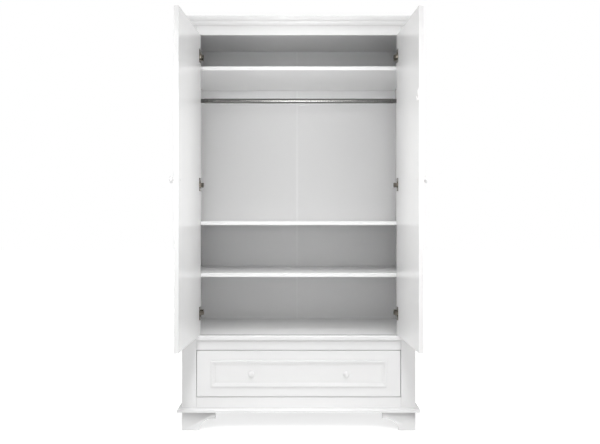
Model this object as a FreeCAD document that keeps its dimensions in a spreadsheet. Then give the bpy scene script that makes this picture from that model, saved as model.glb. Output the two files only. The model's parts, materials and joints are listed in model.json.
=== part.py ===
import FreeCAD, Part
import math
import os

import Sketcher

# A free-standing wardrobe: a framed cabinet with two inset doors, a compartment column with a
# hanging rod, one wide drawer and bracket feet. Millimetres. +X is to the right of someone facing
# the doors, +Y runs from the front to the back, +Z is up. The origin is on the floor, at the
# centre of the whole piece as it stands with its doors open.

doc = FreeCAD.newDocument("wardrobe")
sheet = doc.addObject("Spreadsheet::Sheet", "Sizes")


class Size:
    """A number together with the expression that a property is bound to."""

    def __init__(self, value, text):
        self.value = value
        self.text = text

    @staticmethod
    def of(other):
        return other if isinstance(other, Size) else Size(other, repr(other))

    @staticmethod
    def join(left, sign, right, value):
        return Size(value, "(%s %s %s)" % (left.text, sign, right.text))

    def __add__(self, other):
        other = Size.of(other)
        return Size.join(self, "+", other, self.value + other.value)

    def __radd__(self, other):
        return Size.of(other) + self

    def __sub__(self, other):
        other = Size.of(other)
        return Size.join(self, "-", other, self.value - other.value)

    def __rsub__(self, other):
        return Size.of(other) - self

    def __mul__(self, other):
        other = Size.of(other)
        return Size.join(self, "*", other, self.value * other.value)

    def __rmul__(self, other):
        return Size.of(other) * self

    def __truediv__(self, other):
        other = Size.of(other)
        return Size.join(self, "/", other, self.value / other.value)

    def __neg__(self):
        return Size.of(0) - self


def sine(angle):
    """Sine of an angle in degrees."""
    return Size(math.sin(math.radians(angle.value)), "sin(%s)" % angle.text)


def cosine(angle):
    """Cosine of an angle in degrees."""
    return Size(math.cos(math.radians(angle.value)), "cos(%s)" % angle.text)


def larger(first, second):
    """The larger of two sizes: half of their sum and of their distance apart."""
    difference = first - second
    distance = Size(abs(difference.value), "abs(%s)" % difference.text)
    return (first + second + distance) / 2


row_count = 0


def size(alias, value):
    """Write one driving size into the sheet and return it."""
    global row_count
    row_count += 1
    cell = "B%d" % row_count
    sheet.set("A%d" % row_count, alias)
    sheet.set(cell, str(value))
    sheet.setAlias(cell, alias)
    return Size(value, "Sizes." + alias)


# Overall
total_height = size("total_height", 2000)
carcass_width = size("carcass_width", 1130)
carcass_depth = size("carcass_depth", 600)
foot_height = size("foot_height", 91.5)

# Boards and face frame
board_thick = size("board_thickness", 18)
frame_thick = size("frame_thickness", 20)
stile_width = size("stile_width", 70)
top_rail_height = size("top_rail_height", 74)
bottom_rail_height = size("bottom_rail_height", 69.5)
drawer_opening_height = size("drawer_opening_height", 229)
drawer_rail_height = size("drawer_rail_height", 72)
cap_thick = size("cap_thickness", 12)
cap_overhang = size("cap_overhang", 31)
cap_edge_radius = size("cap_edge_radius", 2.5)
edge_radius = size("edge_radius", 0.8)
fit_gap = size("fit_gap", 0.5)

# Back
back_recess = size("back_recess", 5)
back_thick = size("back_thickness", 3)
strip_offset = size("joint_strip_offset", 9)
strip_width = size("joint_strip_width", 10)
strip_flange = size("joint_strip_flange", 1)
strip_web = size("joint_strip_web", 1.4)

# Mouldings
cornice_toe = size("cornice_toe", 4)
cornice_ovolo = size("cornice_ovolo_radius", 15)
cornice_fillet = size("cornice_fillet", 4)
cornice_top_ovolo = size("cornice_top_ovolo_radius", 10)
waist_height = size("waist_moulding_height", 23)
waist_projection = size("waist_moulding_projection", 18)
waist_top_radius = size("waist_top_radius", 7)
waist_low_radius = size("waist_low_radius", 5)
plinth_height = size("base_moulding_height", 21)
plinth_projection = size("base_moulding_projection", 21)
plinth_radius = size("base_moulding_radius", 9)
plinth_step = size("base_moulding_step", 3)
trim_width = size("trim_width", 22)
trim_height = size("trim_height", 8.5)
trim_margin_side = size("trim_margin_side", 67.5)
trim_margin_end = size("trim_margin_end", 47)
trim_radius = size("trim_radius", 3)

# Bracket feet
bracket_length = size("bracket_length", 161)
bracket_floor_length = size("bracket_floor_length", 82)
bracket_end_height = size("bracket_end_height", 35)

# Inside
shelf_thick = size("shelf_thickness", 19)
shelf_setback = size("shelf_setback", 30)
shelf_side_gap = size("shelf_side_gap", 1)
shelf_back_gap = size("shelf_back_gap", 2)
hat_shelf_drop = size("hat_shelf_drop", 220)
middle_shelf_below_hinge = size("middle_shelf_below_hinge", 175.5)
lower_shelf_rise = size("lower_shelf_rise", 298)
pin_radius = size("shelf_pin_radius", 2.5)
pin_length = size("shelf_pin_length", 9)
pin_inset = size("shelf_pin_inset", 60)
rod_radius = size("rod_radius", 12.5)
rod_drop = size("rod_drop_below_hat_shelf", 103)
rod_setback = size("rod_setback", 315)
socket_radius = size("rod_socket_radius", 24)
socket_plate = size("rod_socket_plate", 3)
socket_ring_wall = size("rod_socket_ring_wall", 3)
socket_ring_length = size("rod_socket_ring_length", 12)

# Doors
door_thick = size("door_thickness", 20)
door_gap = size("door_gap", 2.5)
door_meeting_gap = size("door_meeting_gap", 3)
door_floor_gap = size("door_floor_gap", 3.5)
door_angle = size("door_open_angle", 93)
pivot_forward = size("pivot_forward", 2)

# Concealed hinges
hinge_end_distance = size("hinge_end_distance", 105)
cup_edge_distance = size("cup_edge_distance", 22)
cup_radius = size("cup_radius", 17.5)
cup_depth = size("cup_depth", 12)
cup_wall = size("cup_wall", 1)
cup_bore_gap = size("cup_bore_gap", 0.2)
flange_height = size("hinge_flange_height", 63)
flange_width = size("hinge_flange_width", 38)
flange_thick = size("hinge_flange_thickness", 1.4)
link_thick = size("hinge_link_thickness", 3)
link_height = size("hinge_link_height", 17)
link_start_angle = size("hinge_link_start_angle", 28)
link_end_angle = size("hinge_link_end_angle", 139)
link_gap = size("hinge_link_gap", 0.5)
housing_cheek = size("hinge_housing_cheek", 2.5)
housing_front_gap = size("hinge_housing_front_gap", 0.8)
housing_depth = size("hinge_housing_depth", 18)
housing_reach = size("hinge_housing_reach", 30)
plate_height = size("hinge_plate_height", 52)
plate_depth = size("hinge_plate_depth", 40)
plate_thick = size("hinge_plate_thickness", 3)

# Knobs and their screws
knob_edge_distance = size("knob_edge_distance", 34)
knob_radius = size("knob_radius", 14.5)
knob_foot_radius = size("knob_foot_radius", 8.5)
knob_foot_height = size("knob_foot_height", 2.5)
knob_neck_radius = size("knob_neck_radius", 5.5)
knob_neck_height = size("knob_neck_height", 11)
knob_length = size("knob_length", 27)
knob_foot_slope = size("knob_foot_slope", 2)
knob_rim = size("knob_rim", 5.5)
screw_radius = size("knob_screw_radius", 2)
screw_hole_gap = size("knob_screw_hole_gap", 0.3)
screw_bite = size("knob_screw_bite", 12)
screw_head_radius = size("knob_screw_head_radius", 4.25)
screw_head_height = size("knob_screw_head_height", 2.4)
drawer_knob_offset = size("drawer_knob_offset", 229)

# Drawer
drawer_gap = size("drawer_front_gap", 3)
drawer_side_thick = size("drawer_side_thickness", 15)
drawer_side_height = size("drawer_side_height", 165)
drawer_side_rise = size("drawer_side_rise", 12)
drawer_back_clearance = size("drawer_back_clearance", 60)
drawer_back_thick = size("drawer_back_thickness", 12)
drawer_bottom_thick = size("drawer_bottom_thickness", 5)
drawer_bottom_rise = size("drawer_bottom_rise", 12)
groove_depth = size("groove_depth", 6)
groove_gap = size("groove_gap", 0.2)

# Roller runners
runner_space = size("runner_space", 12.5)
runner_steel = size("runner_steel", 1.2)
runner_back_gap = size("runner_back_gap", 40)
runner_web_height = size("runner_web_height", 30)
cabinet_lip_gap = size("cabinet_lip_gap", 1.6)
drawer_runner_height = size("drawer_runner_height", 24)
drawer_lip_gap = size("drawer_lip_gap", 2.6)
roller_radius = size("roller_radius", 8.5)
roller_side_gap = size("roller_side_gap", 2)
roller_gap = size("roller_gap", 0.3)
roller_pin_radius = size("roller_pin_radius", 2)
roller_pin_gap = size("roller_pin_gap", 0.15)
roller_inset = size("roller_inset", 16)
batten_height = size("runner_batten_height", 44)

# Levels and planes that follow from the sizes above
frame_top = total_height - cap_thick
frame_height = frame_top - foot_height
opening_half = carcass_width / 2 - stile_width
inner_half = carcass_width / 2 - board_thick
door_top = frame_top - top_rail_height - door_gap
drawer_opening_bottom = foot_height + bottom_rail_height
drawer_opening_top = drawer_opening_bottom + drawer_opening_height
floor_top = drawer_opening_top + drawer_rail_height
door_bottom = floor_top + door_floor_gap
door_height = door_top - door_bottom
door_width = opening_half - door_gap - door_meeting_gap / 2
door_reach = (
    pivot_forward
    + (opening_half - door_meeting_gap / 2) * sine(door_angle)
    - (door_thick + pivot_forward) * cosine(door_angle)
)
front = (door_reach - carcass_depth) / 2
frame_back = front + frame_thick
back_face = front + carcass_depth - back_recess - back_thick
board_depth = back_face - frame_back
cornice_reach = cornice_toe + cornice_ovolo + cornice_top_ovolo
cornice_height = cornice_ovolo + cornice_fillet + cornice_top_ovolo
hinge_low = door_bottom + hinge_end_distance
hinge_spacing = (door_height - 2 * hinge_end_distance) / 2
hinge_middle = hinge_low + hinge_spacing
link_end = larger(frame_thick, door_thick) + link_gap
link_inner = (link_end + pivot_forward) / sine(link_end_angle)
link_outer = link_inner + link_thick
housing_front = larger(frame_thick, door_thick + flange_thick) + housing_front_gap
shelf_tops = {
    "hat_shelf": frame_top - hat_shelf_drop,
    "middle_shelf": hinge_middle - middle_shelf_below_hinge,
    "lower_shelf": floor_top + lower_shelf_rise,
}
rod_level = shelf_tops["hat_shelf"] - shelf_thick - rod_drop
LEFT = -1
RIGHT = 1
SIDES = {"left": LEFT, "right": RIGHT}
HINGE_COUNT = 3
TRIM_LEVELS = 3
SMALLEST_CUT = 1  # mm3, less than any real pocket here removes


def origin_part(body, role):
    """One of the body's own origin planes or axes."""
    return next(part for part in body.Origin.OriginFeatures if part.Role == role)


def new_body(label, x, y, z, turn=None):
    """A body with its place, and its turn about the vertical, bound to the sheet."""
    body = doc.addObject("PartDesign::Body", label)
    body.Label = label
    vertical = FreeCAD.Vector(0, 0, 1)
    angle = turn.value if turn else 0
    base = FreeCAD.Vector(*(Size.of(part).value for part in (x, y, z)))
    body.Placement = FreeCAD.Placement(base, FreeCAD.Rotation(vertical, angle))
    for axis, part in zip("xyz", (x, y, z)):
        if isinstance(part, Size):
            body.setExpression("Placement.Base." + axis, part.text)
    if turn:
        body.setExpression("Placement.Rotation.Angle", turn.text)
    return body


def new_sketch(body, role, offset=None):
    """An empty sketch on an origin plane, moved along the plane's normal by offset."""
    sketch = body.newObject("Sketcher::SketchObject", body.Label + "_sketch")
    sketch.AttachmentSupport = (origin_part(body, role), [""])
    sketch.MapMode = "FlatFace"
    if offset is not None:
        sketch.AttachmentOffset = FreeCAD.Placement(
            FreeCAD.Vector(0, 0, Size.of(offset).value), FreeCAD.Rotation()
        )
        sketch.setExpression("AttachmentOffset.Base.z", Size.of(offset).text)
    return sketch


def hold(sketch, kind, place, length):
    """One sketch dimension bound to a size."""
    length = Size.of(length)
    index = sketch.addConstraint(Sketcher.Constraint(kind, *place, float(length.value)))
    sketch.setExpression("Constraints[%d]" % index, length.text)


def arc_geometry(first, last, radius, bulge):
    """An arc between two points. bulge is 1 to turn left on the way and -1 to turn right."""
    middle = (first + last) / 2
    chord = last - first
    height = math.sqrt(max(radius**2 - (chord.Length / 2) ** 2, 0))
    normal = FreeCAD.Vector(-chord.y, chord.x, 0).normalize()
    centre = middle + normal * height * bulge
    start, end = (first, last) if bulge > 0 else (last, first)
    angles = [math.atan2(point.y - centre.y, point.x - centre.x) for point in (start, end)]
    circle = Part.Circle(centre, FreeCAD.Vector(0, 0, 1), radius)
    return Part.ArcOfCircle(circle, *angles)


def outline(sketch, points):
    """A closed outline. A point is (x, y), or (x, y, radius, bulge) when an arc leaves it."""
    spots = [FreeCAD.Vector(Size.of(point[0]).value, Size.of(point[1]).value, 0) for point in points]
    ends = []
    for step, point in enumerate(points):
        here = spots[step]
        there = spots[(step + 1) % len(points)]
        if len(point) == 2:
            index = sketch.addGeometry(Part.LineSegment(here, there), False)
            ends.append((index, 1, 2))
        else:
            arc = arc_geometry(here, there, Size.of(point[2]).value, point[3])
            index = sketch.addGeometry(arc, False)
            ends.append((index, 1, 2) if point[3] > 0 else (index, 2, 1))
    for step, point in enumerate(points):
        index, start, _ = ends[step]
        before, _, finish = ends[step - 1]
        sketch.addConstraint(Sketcher.Constraint("Coincident", before, finish, index, start))
        hold(sketch, "DistanceX", (-1, 1, index, start), point[0])
        hold(sketch, "DistanceY", (-1, 1, index, start), point[1])
        if len(point) > 2:
            hold(sketch, "Radius", (index,), point[2])


def rectangle(sketch, low_x, low_y, high_x, high_y):
    """A rectangle between two corners."""
    outline(sketch, [(low_x, low_y), (high_x, low_y), (high_x, high_y), (low_x, high_y)])


def circle(sketch, x, y, radius):
    """A circle held by its centre and radius."""
    centre = FreeCAD.Vector(Size.of(x).value, Size.of(y).value, 0)
    shape = Part.Circle(centre, FreeCAD.Vector(0, 0, 1), Size.of(radius).value)
    index = sketch.addGeometry(shape, False)
    hold(sketch, "DistanceX", (-1, 1, index, 3), x)
    hold(sketch, "DistanceY", (-1, 1, index, 3), y)
    hold(sketch, "Radius", (index,), radius)


def pad(body, sketch, length, reverse=False, symmetric=False):
    """Pad a sketch by a bound length."""
    feature = body.newObject("PartDesign::Pad", body.Label + "_pad")
    feature.Profile = sketch
    feature.Length = Size.of(length).value
    feature.setExpression("Length", Size.of(length).text)
    feature.Reversed = reverse
    if symmetric:
        feature.SideType = "Symmetric"
    return feature


def pocket(body, sketch, length=None, reverse=False):
    """Cut a sketch to a bound depth, or both ways through everything when there is none.

    It cuts against the sketch plane's normal, or along it when reversed.
    """
    feature = body.newObject("PartDesign::Pocket", body.Label + "_pocket")
    feature.Profile = sketch
    if length is None:
        feature.Type = "ThroughAll"
        feature.SideType = "Symmetric"
    else:
        feature.Length = Size.of(length).value
        feature.setExpression("Length", Size.of(length).text)
        feature.Reversed = reverse
    return feature


def ease(body, feature, radius):
    """Round every edge of a feature."""
    doc.recompute()
    rounding = body.newObject("PartDesign::Fillet", body.Label + "_ease")
    rounding.Base = (feature, ["Edge1"])
    rounding.UseAllEdges = True
    rounding.Radius = radius.value
    rounding.setExpression("Radius", radius.text)
    body.Tip = rounding


def mirror(body, *features):
    """Repeat features on the other side of the body's YZ plane."""
    feature = body.newObject("PartDesign::Mirrored", body.Label + "_mirror")
    feature.Originals = features
    feature.MirrorPlane = (origin_part(body, "YZ_Plane"), [""])
    body.Tip = feature


def repeat_up(body, spacing, count, *features):
    """Repeat features upwards at an even spacing."""
    feature = body.newObject("PartDesign::LinearPattern", body.Label + "_pattern")
    feature.Originals = features
    feature.Direction = (origin_part(body, "Z_Axis"), [""])
    feature.Occurrences = count
    feature.Length = spacing.value * (count - 1)
    feature.setExpression("Length", (spacing * (count - 1)).text)
    body.Tip = feature


def board(label, place, extent, rounding=None):
    """A rectangular board from its low corner and its three sizes, with eased edges if asked."""
    body = new_body(label, *place)
    sketch = new_sketch(body, "XY_Plane")
    rectangle(sketch, 0, 0, extent[0], extent[1])
    block = pad(body, sketch, extent[2])
    if rounding:
        ease(body, block, rounding)
    return body


def side_start(side, half, thick):
    """Low X of a board that lies inside the plane at half on one side."""
    return -half if side == LEFT else half - thick


def make_carcass():
    """Side, top, floor and base boards, the back and the face frame."""
    for name, side in SIDES.items():
        board(
            "side_panel_" + name,
            (side_start(side, carcass_width / 2, board_thick), frame_back, foot_height),
            (board_thick, carcass_depth - frame_thick, frame_height),
            edge_radius,
        )
        board(
            "stile_" + name,
            (side_start(side, carcass_width / 2, stile_width), front, foot_height),
            (stile_width, frame_thick, frame_height),
            edge_radius,
        )
    rails = {
        "top_rail": (frame_top - top_rail_height, top_rail_height),
        "drawer_rail": (drawer_opening_top, drawer_rail_height),
        "bottom_rail": (foot_height, bottom_rail_height),
    }
    for label, (level, height) in rails.items():
        board(
            label,
            (-opening_half, front, level),
            (2 * opening_half, frame_thick, height),
            edge_radius,
        )
    panels = {
        "top_panel": frame_top - board_thick,
        "floor_panel": floor_top - board_thick,
        "base_panel": foot_height,
    }
    for label, level in panels.items():
        body = board(label, (-inner_half, frame_back, level), (2 * inner_half, board_depth, board_thick))
        notch = new_sketch(body, "XY_Plane")
        strip_middle = inner_half - strip_offset
        rectangle(
            notch,
            strip_middle - strip_width / 2 - fit_gap,
            board_depth - strip_flange - fit_gap,
            strip_middle + strip_width / 2 + fit_gap,
            board_depth + fit_gap,
        )
        pocket(body, notch)
    board(
        "top_board",
        (-(carcass_width / 2) - cap_overhang, front - cap_overhang, frame_top),
        (carcass_width + 2 * cap_overhang, carcass_depth + cap_overhang, cap_thick),
        cap_edge_radius,
    )


def make_back():
    """Two thin back panels joined by an H-shaped strip."""
    strip_left = -strip_offset - strip_web / 2
    strip_right = -strip_offset + strip_web / 2
    side_edge = inner_half - fit_gap
    spans = {
        "left": (-side_edge, strip_left - fit_gap - (-side_edge)),
        "right": (strip_right + fit_gap, side_edge - strip_right - fit_gap),
    }
    for name, (low, width) in spans.items():
        board("back_panel_" + name, (low, back_face, foot_height), (width, back_thick, frame_height))
    body = new_body("back_joint_strip", -strip_offset, back_face, foot_height)
    sketch = new_sketch(body, "XY_Plane")
    wide = strip_width / 2
    web = strip_web / 2
    outline(
        sketch,
        [
            (-wide, -strip_flange),
            (wide, -strip_flange),
            (wide, 0),
            (web, 0),
            (web, back_thick),
            (wide, back_thick),
            (wide, back_thick + strip_flange),
            (-wide, back_thick + strip_flange),
            (-wide, back_thick),
            (-web, back_thick),
            (-web, 0),
            (-wide, 0),
        ],
    )
    pad(body, sketch, frame_height)


def cornice_profile(out):
    """Cornice section: a large ovolo, a fillet and a small ovolo. out is the outward sign."""
    toe = cornice_toe
    middle = cornice_toe + cornice_ovolo
    return [
        (0, 0),
        (out * toe, 0, cornice_ovolo, out),
        (out * middle, cornice_ovolo),
        (out * middle, cornice_ovolo + cornice_fillet, cornice_top_ovolo, out),
        (out * cornice_reach, cornice_height),
        (0, cornice_height),
    ]


def waist_profile(out):
    """Waist moulding section: a nose with a larger rounding on top."""
    return [
        (0, 0),
        (out * (waist_projection - waist_low_radius), 0, waist_low_radius, out),
        (out * waist_projection, waist_low_radius),
        (out * waist_projection, waist_height - waist_top_radius, waist_top_radius, out),
        (out * (waist_projection - waist_top_radius), waist_height),
        (0, waist_height),
    ]


def plinth_profile(out):
    """Base moulding section: an upright face, an ovolo and a small step."""
    shoulder = plinth_height - plinth_step
    return [
        (0, 0),
        (out * plinth_projection, 0),
        (out * plinth_projection, shoulder - plinth_radius, plinth_radius, out),
        (out * (plinth_projection - plinth_radius), shoulder),
        (out * (plinth_projection - plinth_radius - plinth_step), shoulder),
        (out * (plinth_projection - plinth_radius - plinth_step), plinth_height),
        (0, plinth_height),
    ]


def wrap_moulding(name, labels, profile, level, reach):
    """A moulding across the front and along both sides, mitred at the two front corners."""
    half = carcass_width / 2
    over = reach + fit_gap
    body = new_body(name + labels[0], 0, front, level)
    sketch = new_sketch(body, "YZ_Plane")
    outline(sketch, profile(LEFT))
    pad(body, sketch, carcass_width + 2 * reach, symmetric=True)
    mitre = new_sketch(body, "XY_Plane")
    for side in (LEFT, RIGHT):
        outline(mitre, [(side * half, 0), (side * (half + over), 0), (side * (half + over), -over)])
    pocket(body, mitre)
    for label, side in zip(labels[1:], (LEFT, RIGHT)):
        body = new_body(name + label, side * half, front, level)
        sketch = new_sketch(body, "XZ_Plane", reach)
        outline(sketch, profile(side))
        pad(body, sketch, carcass_depth + reach, reverse=True)
        mitre = new_sketch(body, "XY_Plane")
        outline(mitre, [(0, 0), (side * over, -over), (0, -over)])
        pocket(body, mitre)


def make_mouldings():
    """Cornice under the top board, waist moulding and base moulding."""
    labels = ("_front", "_left", "_right")
    wrap_moulding("cornice", labels, cornice_profile, frame_top - cornice_height, cornice_reach)
    wrap_moulding("waist_moulding", labels, waist_profile, floor_top - waist_height, waist_projection)
    wrap_moulding("base_moulding", labels, plinth_profile, foot_height, plinth_projection)


def bracket_outline(sketch, start, way):
    """Bracket foot outline from its upright edge: way is 1 when it runs towards plus."""
    chord_x = bracket_length - bracket_floor_length
    chord_z = foot_height - bracket_end_height
    radius = (chord_x + chord_z) / 2
    outline(
        sketch,
        [
            (start, 0),
            (start + way * bracket_floor_length, 0, radius, -way),
            (start + way * bracket_length, chord_z),
            (start + way * bracket_length, foot_height),
            (start, foot_height),
        ],
    )


def make_feet():
    """Front brackets, and a pair of side brackets under each side panel."""
    half = carcass_width / 2
    for name, side in SIDES.items():
        body = new_body("foot_front_" + name, side * half, front, 0)
        sketch = new_sketch(body, "XZ_Plane")
        bracket_outline(sketch, Size.of(0), -side)
        block = pad(body, sketch, frame_thick, reverse=True)
        ease(body, block, edge_radius)
        body = new_body("foot_side_" + name, side_start(side, half, board_thick), frame_back, 0)
        sketch = new_sketch(body, "YZ_Plane")
        bracket_outline(sketch, Size.of(0), 1)
        bracket_outline(sketch, carcass_depth - frame_thick, -1)
        pad(body, sketch, board_thick)


def make_shelves():
    """Three loose shelves and the pins that carry them."""
    half = inner_half - shelf_side_gap
    low_y = front + shelf_setback
    depth = back_face - shelf_back_gap - low_y
    for label, top in shelf_tops.items():
        board(label, (-half, low_y, top - shelf_thick), (2 * half, depth, shelf_thick), edge_radius)
    body = new_body("shelf_pins", 0, 0, 0)
    pins = []
    for top in shelf_tops.values():
        sketch = new_sketch(body, "YZ_Plane", inner_half - pin_length)
        for spot in (low_y + pin_inset, low_y + depth - pin_inset):
            circle(sketch, spot, top - shelf_thick - pin_radius, pin_radius)
        pins.append(pad(body, sketch, 2 * pin_length))
    mirror(body, *pins)


def make_rod():
    """Hanging rod between two end sockets."""
    body = new_body("hanging_rod", 0, front + rod_setback, rod_level)
    sketch = new_sketch(body, "YZ_Plane")
    circle(sketch, 0, 0, rod_radius)
    half = inner_half - socket_plate - fit_gap
    pad(body, sketch, 2 * half, symmetric=True)
    body = new_body("rod_sockets", 0, front + rod_setback, rod_level)
    sketch = new_sketch(body, "YZ_Plane", inner_half - socket_plate)
    circle(sketch, 0, 0, socket_radius)
    plate = pad(body, sketch, socket_plate)
    sketch = new_sketch(body, "YZ_Plane", inner_half - socket_plate)
    circle(sketch, 0, 0, rod_radius + fit_gap + socket_ring_wall)
    circle(sketch, 0, 0, rod_radius + fit_gap)
    ring = pad(body, sketch, socket_ring_length, reverse=True)
    mirror(body, plate, ring)


def trim_profile(out_x, face):
    """Frame moulding section: an upright outer edge and two rounded steps falling inwards."""
    step = trim_height / TRIM_LEVELS
    top = trim_radius + 2 * step
    second = top + step
    third = second + step
    crest = face - trim_height
    return [
        (out_x, face),
        (out_x, crest + trim_radius, trim_radius, 1),
        (out_x + trim_radius, crest),
        (out_x + top, crest, step, 1),
        (out_x + second, crest + step),
        (out_x + third, crest + step, step, 1),
        (out_x + third + step, crest + 2 * step),
        (out_x + trim_width, crest + 2 * step),
        (out_x + trim_width, face),
    ]


def trim_frame(label, place, width, height, face=0, turn=None, centre_x=0):
    """A moulding frame around a rectangle, standing proud of the face at this depth."""
    face = Size.of(face)
    body = new_body(label, *place, turn)
    left = centre_x - width / 2
    right = centre_x + width / 2
    path = new_sketch(body, "XZ_Plane", -face)
    outline(
        path,
        [(left, 0), (left, height / 2), (right, height / 2), (right, -height / 2), (left, -height / 2)],
    )
    section = new_sketch(body, "XY_Plane")
    outline(section, trim_profile(left, face))
    feature = body.newObject("PartDesign::AdditivePipe", label + "_sweep")
    feature.Profile = section
    feature.Spine = (path, [])
    feature.Transition = "Right corner"


def knob_shape(body, x, face):
    """A turned knob whose axis runs along minus Y from a face."""
    dome_rise = knob_length - knob_neck_height - knob_rim
    dome_radius = (knob_radius * knob_radius + dome_rise * dome_rise) / (2 * dome_rise)
    sketch = new_sketch(body, "XY_Plane")
    outline(
        sketch,
        [
            (x, face),
            (x + knob_foot_radius, face),
            (x + knob_foot_radius, face - knob_foot_height),
            (x + knob_neck_radius, face - knob_foot_height - knob_foot_slope),
            (x + knob_neck_radius, face - knob_neck_height),
            (x + knob_radius, face - knob_neck_height - knob_rim, dome_radius, -1),
            (x, face - knob_length),
        ],
    )
    ends = (FreeCAD.Vector(Size.of(x).value, level, 0) for level in (0, knob_length.value))
    line = sketch.addGeometry(Part.LineSegment(*ends), True)
    hold(sketch, "DistanceX", (-1, 1, line, 1), x)
    hold(sketch, "DistanceX", (-1, 1, line, 2), x)
    feature = body.newObject("PartDesign::Revolution", body.Label + "_turning")
    feature.Profile = sketch
    feature.ReferenceAxis = (sketch, ["Axis0"])
    feature.Angle = 360
    return feature


def knob_screw(body, x, inner_face, reach):
    """A screw through a front: its head on the inner face, its tip inside the knob."""
    sketch = new_sketch(body, "XZ_Plane", -inner_face)
    circle(sketch, x, 0, screw_radius)
    shank = pad(body, sketch, reach)
    sketch = new_sketch(body, "XZ_Plane", -inner_face)
    circle(sketch, x, 0, screw_head_radius)
    head = pad(body, sketch, screw_head_height, reverse=True)
    return shank, head


def knob_bore(body, x, face, depth):
    """The screw's blind hole in the foot of a knob."""
    sketch = new_sketch(body, "XZ_Plane", -face)
    circle(sketch, x, 0, screw_radius)
    return pocket(body, sketch, depth, reverse=True)


def make_door(name, side):
    """One door with its trim, knob and the moving halves of its hinges.

    It is drawn closed, about the pivot line, and turned open by its body's placement.
    """
    way = -side
    turn = way * -door_angle
    pivot = (side * opening_half, front - pivot_forward)
    outer = pivot_forward
    inner = pivot_forward + door_thick
    near = way * door_gap
    far = way * (door_gap + door_width)

    body = new_body("door_" + name, *pivot, door_bottom, turn)
    sketch = new_sketch(body, "XY_Plane")
    rectangle(sketch, near, outer, far, inner)
    block = pad(body, sketch, door_height)
    ease(body, block, edge_radius)
    cup_x = way * (door_gap + cup_edge_distance)
    bores = new_sketch(body, "XZ_Plane", -inner)
    for step in range(HINGE_COUNT):
        circle(bores, cup_x, hinge_end_distance + step * hinge_spacing, cup_radius + cup_bore_gap)
    pocket(body, bores, cup_depth + cup_bore_gap, reverse=True)
    knob_x = way * (door_gap + door_width - knob_edge_distance)
    knob_level = hinge_end_distance + hinge_spacing
    hole = new_sketch(body, "XZ_Plane", -inner)
    circle(hole, knob_x, knob_level, screw_radius + screw_hole_gap)
    pocket(body, hole)

    trim_frame(
        "door_moulding_" + name,
        (*pivot, door_bottom + door_height / 2),
        door_width - 2 * trim_margin_side,
        door_height - 2 * trim_margin_side,
        outer,
        turn,
        way * (door_gap + door_width / 2),
    )

    level = door_bottom + knob_level
    body = new_body("door_knob_" + name, *pivot, level, turn)
    knob_shape(body, knob_x, outer)
    knob_bore(body, knob_x, outer, screw_bite)
    body = new_body("door_knob_screw_" + name, *pivot, level, turn)
    knob_screw(body, knob_x, inner, door_thick + screw_bite)

    body = new_body("hinge_cups_" + name, *pivot, hinge_low, turn)
    make_cups(body, cup_x, inner)
    body = new_body("hinge_links_" + name, *pivot, hinge_low, turn)
    make_links(body, way)


def make_cups(body, cup_x, inner):
    """Three hinge cups let into the door, with the flanges that hold them."""
    features = []
    sketch = new_sketch(body, "XZ_Plane", -inner)
    half_wide = flange_width / 2
    half_high = flange_height / 2
    rectangle(sketch, cup_x - half_wide, -half_high, cup_x + half_wide, half_high)
    circle(sketch, cup_x, 0, cup_radius - cup_wall)
    features.append(pad(body, sketch, flange_thick, reverse=True))
    sketch = new_sketch(body, "XZ_Plane", -inner)
    circle(sketch, cup_x, 0, cup_radius)
    circle(sketch, cup_x, 0, cup_radius - cup_wall)
    features.append(pad(body, sketch, cup_depth))
    sketch = new_sketch(body, "XZ_Plane", -(inner - cup_depth + cup_wall))
    circle(sketch, cup_x, 0, cup_radius - cup_wall / 2)
    features.append(pad(body, sketch, cup_wall))
    repeat_up(body, hinge_spacing, HINGE_COUNT, *features)


def make_links(body, way):
    """Three curved hinge arms, concentric with the pivot line."""
    sketch = new_sketch(body, "XY_Plane")
    corners = []
    for radius, angle in (
        (link_inner, link_start_angle),
        (link_outer, link_start_angle),
        (link_outer, link_end_angle),
        (link_inner, link_end_angle),
    ):
        corners.append((way * radius * cosine(angle), radius * sine(angle)))
    outline(
        sketch,
        [
            corners[0],
            (*corners[1], link_outer, way),
            corners[2],
            (*corners[3], link_inner, -way),
        ],
    )
    arm = pad(body, sketch, link_height, symmetric=True)
    repeat_up(body, hinge_spacing, HINGE_COUNT, arm)


def make_hinge_housings(name, side):
    """Three plates with slotted housings, fixed to a side panel behind the stile."""
    way = -side
    body = new_body("hinge_housings_" + name, side * inner_half, front, hinge_low)
    half = link_height / 2 + link_gap
    outside = half + housing_cheek
    features = []
    sketch = new_sketch(body, "YZ_Plane")
    plate_end = housing_front + plate_depth
    rectangle(sketch, housing_front, -plate_height / 2, plate_end, plate_height / 2)
    features.append(pad(body, sketch, plate_thick, reverse=way < 0))
    sketch = new_sketch(body, "YZ_Plane")
    depth = housing_front + housing_depth
    outline(
        sketch,
        [
            (housing_front, -outside),
            (depth, -outside),
            (depth, outside),
            (housing_front, outside),
            (housing_front, half),
            (depth - housing_cheek, half),
            (depth - housing_cheek, -half),
            (housing_front, -half),
        ],
    )
    reach = stile_width - board_thick + housing_reach
    features.append(pad(body, sketch, reach, reverse=way < 0))
    repeat_up(body, hinge_spacing, HINGE_COUNT, *features)


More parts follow.
